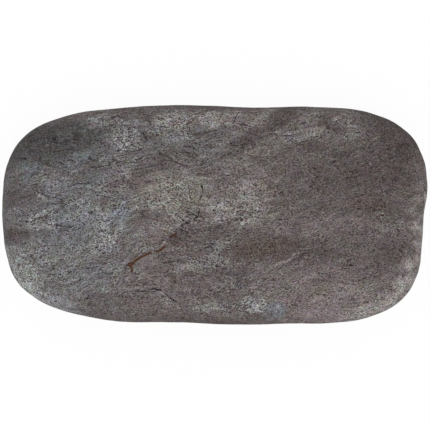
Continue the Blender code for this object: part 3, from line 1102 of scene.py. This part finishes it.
@dataclass
class MassageStone:
    """The stone: a slab with a rolled edge, worn flat underneath, with relief and lines on it.

    Attributes:
        length: Along X.
        width: Across Y.
        finish: What it is made of.
        thickness: At the middle, from the resting face up.
        rim_height: The level of the widest outline.
        side_roll: How far in from the outline the edge rolls over on the long sides.
        end_roll: The same at the ends.
        corner_roll: The same at the corners.
        edge_fullness: The power of the edge's section, where 2 is an ellipse.
        crown: The swell of the upper face.
        belly: The swell of the underside.
        rest_cut: How much of the belly has worn away.
        end_fall: How much lower the upper face is at the east end than at the west end.
        line_reach: How far the cut of a line reaches on each side.
        seed: Which relief it has.
    """

    length: float
    width: float
    finish: BasaltFinish
    thickness: float = 22.0 * MM
    rim_height: float = 10.5 * MM
    side_roll: float = 6.0 * MM
    end_roll: float = 8.5 * MM
    corner_roll: float = 14.0 * MM
    edge_fullness: float = 2.2
    crown: float = 1.1 * MM
    belly: float = 1.2 * MM
    rest_cut: float = 0.6 * MM
    end_fall: float = 1.2 * MM
    line_reach: float = 0.8 * MM
    seed: float = 21.0

    NODE: ClassVar[str] = "stone"
    BODY: ClassVar[str] = "root"
    SLOT: ClassVar[str] = "basalt"
    PIECE: ClassVar[str] = "worn_stone"
    CELLS: ClassVar[tuple[int, int, int]] = (260, 134, 34)
    OUTLINE_POINTS: ClassVar[int] = 1600
    OUTLINE_STEPS: ClassVar[int] = 64
    LINE_STEPS: ClassVar[int] = 12
    RAY_LENGTH: ClassVar[float] = 1.0

    def build(self) -> bpy.types.Object:
        """Makes the stone as a plain mesh, rides it on its body and lets it stand for the CAD node.

        Returns:
            The finished stone.
        """
        material = self.finish.material(PATCHES)
        guides = self._guides()
        tree, sockets = self._tree(material)
        maker = add_object("stone_maker", bpy.data.meshes.new("stone_maker"))
        modifier = maker.modifiers.new("stone", "NODES")
        modifier.node_group = tree
        for name, value in {**self._sizes(), **guides}.items():
            modifier[sockets[name].identifier] = value
        stone = self._plain_copy(maker)
        for helper in (maker, *guides.values()):
            bpy.data.objects.remove(helper)
        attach(stone, self.BODY)
        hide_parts(self.NODE)
        return stone

    def _plain_copy(self, maker: bpy.types.Object) -> bpy.types.Object:
        """Turns what a modifier makes into a plain mesh object.

        Args:
            maker: The object with the modifier.

        Returns:
            A new object with the evaluated mesh.
        """
        bpy.context.view_layer.update()
        graph = bpy.context.evaluated_depsgraph_get()
        mesh = bpy.data.meshes.new_from_object(maker.evaluated_get(graph))
        mesh.name = self.PIECE
        # The box of cells brings an empty material slot of its own
        mesh.materials.pop(index=0)
        return add_object(self.PIECE, mesh)

    def _sizes(self) -> dict[str, float]:
        """Gives the tree's sizes by the names of their inputs."""
        return {
            "Length": self.length,
            "Width": self.width,
            "Thickness": self.thickness,
            "Rim height": self.rim_height,
            "Side roll": self.side_roll,
            "End roll": self.end_roll,
            "Corner roll": self.corner_roll,
            "Edge fullness": self.edge_fullness,
            "Crown": self.crown,
            "Shoulder rise": self.thickness - self.rim_height - self.crown,
            "Belly": self.belly,
            "Under drop": self.rim_height + self.rest_cut - self.belly,
            "End slope": self.end_fall / self.length,
            "Line reach": self.line_reach,
        }

    def _guides(self) -> dict[str, bpy.types.Object]:
        """Draws the outline, and the lines of each kind, as curves.

        Returns:
            The curve objects by the names of the tree's inputs for them.
        """
        outline = tuple(
            (
                mark.end.value * self.length / 2 + mark.x_mm * MM,
                mark.side.value * self.width / 2 + mark.y_mm * MM,
            )
            for mark in LANDMARKS
        )
        guides = {"Outline": draw_guide("outline_guide", (outline,), True, self.OUTLINE_STEPS)}
        for kind, fissures in FISSURES.items():
            name = kind.value.attribute
            lines = [tuple((x * MM, y * MM) for x, y in line) for line in fissures.values()]
            guides[name] = draw_guide(f"{name}_guide", lines, False, self.LINE_STEPS)
        return guides

    def _tree(
        self, material: bpy.types.Material
    ) -> tuple[bpy.types.NodeTree, dict[str, bpy.types.NodeTreeInterfaceSocket]]:
        """Builds the Geometry Nodes tree that makes the stone.

        Args:
            material: What the tree sets on the finished mesh.

        Returns:
            The tree, and its inputs by name.
        """
        tree = bpy.data.node_groups.new("massage_stone", "GeometryNodeTree")
        add = partial(add_node, tree)
        guides = ("Outline", *(kind.value.attribute for kind in FissureKind))
        sockets = {}
        for names, kind in ((self._sizes(), "NodeSocketFloat"), (guides, "NodeSocketObject")):
            for name in names:
                sockets[name] = tree.interface.new_socket(name, in_out="INPUT", socket_type=kind)
        tree.interface.new_socket("Stone", in_out="OUTPUT", socket_type="NodeSocketGeometry")
        size = add("NodeGroupInput").outputs
        body = self._body(add, size)
        marked, cut = self._lines(add, size, body)
        worn = self._relief(add, marked, cut)
        smooth = add("GeometryNodeSetShadeSmooth", {"Geometry": worn})
        real = add("GeometryNodeRealizeInstances", {"Geometry": smooth})
        dressed = add("GeometryNodeSetMaterial", {"Geometry": real, "Material": material})
        add("NodeGroupOutput", {"Stone": dressed})
        return tree, sockets

    def _wall(self, add: AddNode, size: Mapping[str, Feed], footprint: Feed) -> Node:
        """Stands the outline up as a low wall, fitted to the stone's length and width.

        Args:
            add: Adds a node to the stone's tree.
            size: The tree's inputs.
            footprint: The stone's length and width.

        Returns:
            The node with the wall, whose points hold their outward direction.
        """
        guide = add("GeometryNodeObjectInfo", {"Object": size["Outline"]}).outputs["Geometry"]
        line = add("GeometryNodeResampleCurve", {"Curve": guide, "Count": self.OUTLINE_POINTS})
        box = add("GeometryNodeBoundBox", {"Geometry": line, "Use Radius": False})
        low, high = box.outputs["Min"], box.outputs["Max"]
        span = add(VECTOR, (high, low), operation="SUBTRACT")
        both = add(VECTOR, (high, low), operation="ADD")
        middle = add(VECTOR, (both, 0.5), operation="SCALE")
        stretch = add(VECTOR, (footprint, span), operation="DIVIDE")
        centred = add(VECTOR, (add(POSITION), middle), operation="SUBTRACT")
        fitted = add(VECTOR, (centred, stretch), operation="MULTIPLY")
        line = add(SET_POSITION, {"Geometry": line, "Position": fitted})
        tangent = add("GeometryNodeInputTangent")
        outward = add(VECTOR, (tangent, UP), operation="CROSS_PRODUCT")
        marked = add(
            "GeometryNodeStoreNamedAttribute",
            {"Geometry": line, "Name": "outward", "Value": outward},
            data_type="FLOAT_VECTOR",
        )
        wire = add("GeometryNodeCurveToMesh", {"Curve": marked})
        upright = add("ShaderNodeCombineXYZ", {"Z": size["Thickness"]})
        return add("GeometryNodeExtrudeMesh", {"Mesh": wire, "Offset": upright}, mode="EDGES")

    def _body(self, add: AddNode, size: Mapping[str, Feed]) -> Node:
        """Moves a box of cells on to the stone's smooth surface.

        A cell's place along, across and up the box runs from -1 to 1. Its rim follows the outline,
        its sides become the rolled edge, and its top and bottom become the two faces.

        Args:
            add: Adds a node to the stone's tree.
            size: The tree's inputs.

        Returns:
            The node with the smooth body.
        """
        along, across, up = (cells + 1 for cells in self.CELLS)
        cage = add(
            "GeometryNodeMeshCube",
            {"Size": (2, 2, 2), "Vertices X": along, "Vertices Y": across, "Vertices Z": up},
        )
        cell = add(POSITION)
        plan = add(VECTOR, (cell, FLAT), operation="MULTIPLY")
        away = add(VECTOR, (cell,), operation="ABSOLUTE")
        u, v, w = add("ShaderNodeSeparateXYZ", (away,)).outputs

        # The outline and its outward direction, on the bearing of the cell
        footprint = add("ShaderNodeCombineXYZ", {"X": size["Length"], "Y": size["Width"]})
        bearing = add(VECTOR, (plan, footprint), operation="MULTIPLY")
        outward = add("GeometryNodeInputNamedAttribute", {"Name": "outward"}, data_type="FLOAT_VECTOR")
        found = add(
            "GeometryNodeRaycast",
            {
                "Target Geometry": self._wall(add, size, footprint),
                "Attribute": outward,
                "Source Position": add("ShaderNodeCombineXYZ", {"Z": size["Rim height"]}),
                "Ray Direction": bearing,
                "Ray Length": self.RAY_LENGTH,
            },
            data_type="FLOAT_VECTOR",
        ).outputs
        edge = add(VECTOR, (found["Hit Position"], FLAT), operation="MULTIPLY")

        # The roll is widest at the corners, where u and v are alike
        product = add(MATH, (u, v), operation="MULTIPLY")
        squares = add(VECTOR, (plan, plan), operation="DOT_PRODUCT")
        likeness = add(MATH, (product, squares), operation="DIVIDE")
        full = add(MATH, (likeness, 2.0), operation="MULTIPLY")
        corner = add(MATH, (full, 2.0), operation="POWER")
        at_end = add(MATH, (u, v), operation="GREATER_THAN")
        straight = add(MIX, {"Factor": at_end, "A": size["Side roll"], "B": size["End roll"]})
        roll = add(MIX, {"Factor": corner, "A": straight, "B": size["Corner roll"]})

        # The edge's section is a rounded quarter, from the rim to a face
        power = add(MATH, (2.0, size["Edge fullness"]), operation="DIVIDE")
        angle = add(MATH, (w, math.pi / 2), operation="MULTIPLY")
        cosine = add(MATH, (angle,), operation="COSINE", use_clamp=True)
        sine = add(MATH, (angle,), operation="SINE", use_clamp=True)
        stay = add(MATH, (cosine, power), operation="POWER")
        rise = add(MATH, (sine, power), operation="POWER")
        inset = add(MIX, {"Factor": stay, "A": roll, "B": 0.0})
        step = add(VECTOR, (found["Attribute"], inset), operation="SCALE")
        section = add(VECTOR, (edge, step), operation="SUBTRACT")
        ring = add(MATH, (u, v), operation="MAXIMUM")
        place = add(VECTOR, (section, ring), operation="SCALE")
        out = add(VECTOR, (place,), operation="LENGTH")
        reach = add(VECTOR, (edge,), operation="LENGTH")
        share = add(MATH, (out, reach), operation="DIVIDE", use_clamp=True)
        fallen = add(MATH, (share, 2.0), operation="POWER")
        swell = add(MATH, (1.0, fallen), operation="SUBTRACT")

        # Heights above the rim, and below it
        x, y, _ = add("ShaderNodeSeparateXYZ", (place,)).outputs
        fall = add(MATH, (x, size["End slope"]), operation="MULTIPLY")
        shoulder = add(MATH, (size["Shoulder rise"], fall), operation="SUBTRACT")
        lifted = add(MATH, (shoulder, rise), operation="MULTIPLY")
        upper = add(MATH, (size["Crown"], swell, lifted), operation="MULTIPLY_ADD")
        dropped = add(MATH, (size["Under drop"], rise), operation="MULTIPLY")
        lower = add(MATH, (size["Belly"], swell, dropped), operation="MULTIPLY_ADD")
        top = add(MATH, (size["Rim height"], upper), operation="ADD")
        under = add(MATH, (size["Rim height"], lower), operation="SUBTRACT")
        height = add("ShaderNodeSeparateXYZ", (cell,)).outputs["Z"]
        is_upper = add(MATH, (height, 0.0), operation="GREATER_THAN")
        level = add(MIX, {"Factor": is_upper, "A": under, "B": top})
        target = add("ShaderNodeCombineXYZ", {"X": x, "Y": y, "Z": level})
        return add(SET_POSITION, {"Geometry": cage.outputs["Mesh"], "Position": target})

    def _lines(self, add: AddNode, size: Mapping[str, Feed], body: Node) -> tuple[Node, Feed]:
        """Marks the lines in the rock on the upper face.

        Args:
            add: Adds a node to the stone's tree.
            size: The tree's inputs.
            body: The node with the smooth body.

        Returns:
            The node with the marked body, and how far its lines are cut in.
        """
        place = add(POSITION)
        plan = add(VECTOR, (place, FLAT), operation="MULTIPLY")
        level = add("ShaderNodeSeparateXYZ", (place,)).outputs["Z"]
        on_top = add(
            RANGE,
            {"Value": level, "From Min": size["Rim height"], "From Max": size["Thickness"]},
            interpolation_type="SMOOTHSTEP",
        )
        marked = body
        cut: Feed = 0.0
        for kind in FissureKind:
            form = kind.value
            guide = add("GeometryNodeObjectInfo", {"Object": size[form.attribute]})
            wire = add("GeometryNodeCurveToMesh", {"Curve": guide.outputs["Geometry"]})
            near = add(
                "GeometryNodeProximity",
                {"Geometry": wire, "Sample Position": plan},
                target_element="EDGES",
            ).outputs
            way = add(VECTOR, (near["Position"], plan), operation="SUBTRACT")
            closeness = add(
                RANGE,
                {"Value": near["Distance"], "From Min": size["Line reach"], "From Max": 0.0},
                interpolation_type="SMOOTHSTEP",
            )
            mark = add(MATH, (closeness, on_top), operation="MULTIPLY")
            for name, value, data_type in (
                (form.way, way, "FLOAT_VECTOR"),
                (form.attribute, mark, "FLOAT"),
            ):
                marked = add(
                    "GeometryNodeStoreNamedAttribute",
                    {"Geometry": marked, "Name": name, "Value": value},
                    data_type=data_type,
                )
            stored = add("GeometryNodeInputNamedAttribute", {"Name": form.attribute})
            cut = add(MATH, (stored, -form.depth, cut), operation="MULTIPLY_ADD")
        return marked, cut

    def _relief(self, add: AddNode, body: Node, cut: Feed) -> Node:
        """Wears the body: rises, ledges along the rock's layers, tooth, and the lines cut in.

        Args:
            add: Adds a node to the stone's tree.
            body: The node with the marked body.
            cut: How far its lines are cut in.

        Returns:
            The node with the worn body, standing on its flat.
        """
        lying = add(
            "ShaderNodeVectorRotate",
            {"Vector": add(POSITION), "Rotation": self.finish.lie},
            rotation_type="EULER_XYZ",
            invert=True,
        )
        relief = cut
        for number, layer in enumerate(RELIEF, start=1):
            shape = (1, layer.stretch, layer.stretch)
            drawn = add(VECTOR, (lying, shape), operation="MULTIPLY")
            scale = per_metre(layer.spacing_mm)
            rises = add(
                NOISE,
                {"Vector": drawn, "W": self.seed + number, "Scale": scale, "Detail": layer.detail},
                noise_dimensions="4D",
                label=layer.name,
            )
            relief = swing(add, rises, layer.height, relief)
        normal = add("GeometryNodeInputNormal")
        offset = add(VECTOR, (normal, relief), operation="SCALE")
        worn = add(SET_POSITION, {"Geometry": body, "Offset": offset})
        resting = (-self.length, -self.width, 0)
        standing = add(VECTOR, (add(POSITION), resting), operation="MAXIMUM")
        return add(SET_POSITION, {"Geometry": worn, "Position": standing})


@dataclass(frozen=True)
class FloorFinish:
    """Matt pale grey paper: it looks plain white to the camera and still takes a soft shadow.

    Attributes:
        colour: The paper's colour.
        roughness: How matt it is.
        glow: The share of the camera's view of it that is plain white.
        white: How bright that white is.
    """

    colour: str = "#c4c4c4"
    roughness: float = 0.9
    glow: float = 0.9
    white: float = 1.05

    def material(self) -> bpy.types.Material:
        """Makes the floor's material.

        Returns:
            The material.
        """
        material = bpy.data.materials.new("paper_matt_pale")
        add = empty_tree(material)
        paper = add(
            "ShaderNodeBsdfPrincipled", {"Base Color": linear(self.colour), "Roughness": self.roughness}
        )
        white = add("ShaderNodeEmission", {"Strength": self.white})
        share = add(MATH, (seen_directly(add), self.glow), operation="MULTIPLY")
        mixed = add("ShaderNodeMixShader", (share, paper, white))
        add("ShaderNodeOutputMaterial", {"Surface": mixed})
        return material


@dataclass
class Studio:
    """The floor, the soft light and the camera above the stone.

    Attributes:
        stone_length: The length that the camera frames.
        rim_height: The level of the outline that the camera sees.
        floor_side: The side of the square floor.
        floor_gap: How far under the stone the floor lies.
        sky: The colour of the light from all round.
        ambient: The share of light that comes from all round.
        key_share: The share of light that comes from the key lamp.
        key_side: The side of the key lamp's square.
        key_distance: How far the key lamp is.
        key_bearing: Where it is, in degrees from +X.
        key_elevation: How high it is, in degrees.
        lens_mm: The camera's focal length.
        sensor_mm: The camera's sensor width.
        sight: How far the camera sees.
        stone_px: The stone's length in the picture.
        middle_px: The stone's middle in the picture, from the left and from the top.
    """

    stone_length: float
    rim_height: float
    floor_side: float = 6.0
    floor_gap: float = 0.1 * MM
    sky: str = "#ffffff"
    ambient: float = 0.795
    key_share: float = 0.2
    key_side: float = 0.7
    key_distance: float = 1.2
    key_bearing: float = -75.0
    key_elevation: float = 65.0
    lens_mm: float = 200.0
    sensor_mm: float = 36.0
    sight: float = 100.0
    stone_px: float = 425.0
    middle_px: Pair = (214.9, 214.9)

    def build(self) -> None:
        """Makes the floor, the world, the lamp and the camera."""
        self._floor()
        self._world()
        self._key()
        self._camera()

    def _floor(self) -> None:
        """Lays the floor just under the stone."""
        half = self.floor_side / 2
        corners = [(-half, -half), (half, -half), (half, half), (-half, half)]
        mesh = bpy.data.meshes.new("studio_floor")
        mesh.from_pydata([(x, y, -self.floor_gap) for x, y in corners], [], [(0, 1, 2, 3)])
        mesh.materials.append(FloorFinish().material())
        floor = add_object("studio_floor", mesh)

    def _world(self) -> None:
        """Lights the stone from all round, and looks plain white to the camera."""
        world = bpy.data.worlds.new("studio_world")
        add = empty_tree(world)
        strength = add(MIX, {"Factor": seen_directly(add), "A": self.ambient, "B": 1.0})
        light = add("ShaderNodeBackground", {"Color": linear(self.sky), "Strength": strength})
        add("ShaderNodeOutputWorld", {"Surface": light})
        bpy.context.scene.world = world

    def _key(self) -> None:
        """Hangs the key lamp, at the power that gives its share of a plain level of light."""
        bearing = math.radians(self.key_bearing)
        rise = math.radians(self.key_elevation)
        level = math.cos(rise)
        way = Vector((math.cos(bearing) * level, math.sin(bearing) * level, math.sin(rise)))
        lamp = bpy.data.lights.new("key_lamp", "AREA")
        lamp.shape = "SQUARE"
        lamp.size = self.key_side
        lamp.energy = self.key_share * math.pi**2 * self.key_distance**2 / math.sin(rise)
        key = add_object("key_lamp", lamp)
        key.location = way * self.key_distance
        key.rotation_euler = way.to_track_quat("Z", "Y").to_euler()

    def _camera(self) -> None:
        """Puts the camera straight above, so that the stone fills the picture as photographed."""
        pixel = self.stone_length / self.stone_px
        distance = self.lens_mm / self.sensor_mm * FRAME_PX * pixel
        camera = bpy.data.cameras.new("camera")
        camera.lens = self.lens_mm
        camera.sensor_width = self.sensor_mm
        camera.clip_end = self.sight
        eye = add_object("camera", camera)
        eye.location = (
            (FRAME_PX / 2 - self.middle_px[0]) * pixel,
            (self.middle_px[1] - FRAME_PX / 2) * pixel,
            self.rim_height + distance,
        )
        bpy.context.scene.camera = eye


def main() -> None:
    """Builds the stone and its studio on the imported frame."""
    logging.basicConfig(level=logging.INFO, format="%(message)s")
    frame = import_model()
    LOG.info("frame: %s", ", ".join(frame["nodes"]))
    low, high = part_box(MassageStone.NODE)
    span = high - low
    stone = MassageStone(span.x, span.y, BasaltFinish())
    piece = stone.build()
    LOG.info("%s: %d faces, %s", piece.name, len(piece.data.polygons), piece.data.materials[0].name)
    Studio(stone.length, stone.rim_height).build()
    LOG.info("studio: floor, world, key lamp and camera")
    bpy.context.scene.view_settings.view_transform = "Standard"


if __name__ == "__main__":
    main()
